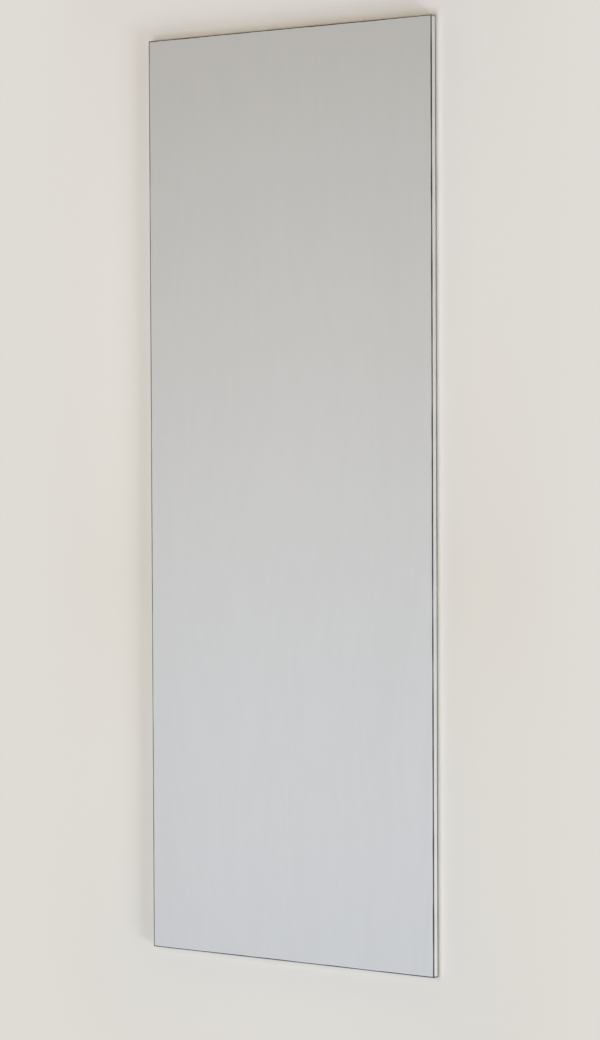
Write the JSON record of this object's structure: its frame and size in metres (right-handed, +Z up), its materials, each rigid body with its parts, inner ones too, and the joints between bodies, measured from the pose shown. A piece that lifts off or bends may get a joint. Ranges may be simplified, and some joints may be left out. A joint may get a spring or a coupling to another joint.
{
  "type": "plywood sheet",
  "caption": "Long flat rectangular plywood sheet with square-cut edges and lightly eased arrises, finished smooth in pale grey on every face.",
  "frame": {"origin": "middle of the lower face, on the surface that the sheet lies on", "axes": "+Z up through the thickness; +Y along the length, towards the end that stands uppermost in the picture; +X across the width, towards the long edge that shows in the picture"},
  "size_m": [1, 2.8, 0.025],
  "materials": {
    "painted_plywood": "satin"
  },
  "bodies": {
    "root": {"plywood_sheet": "painted_plywood"}
  },
  "joints": []
}
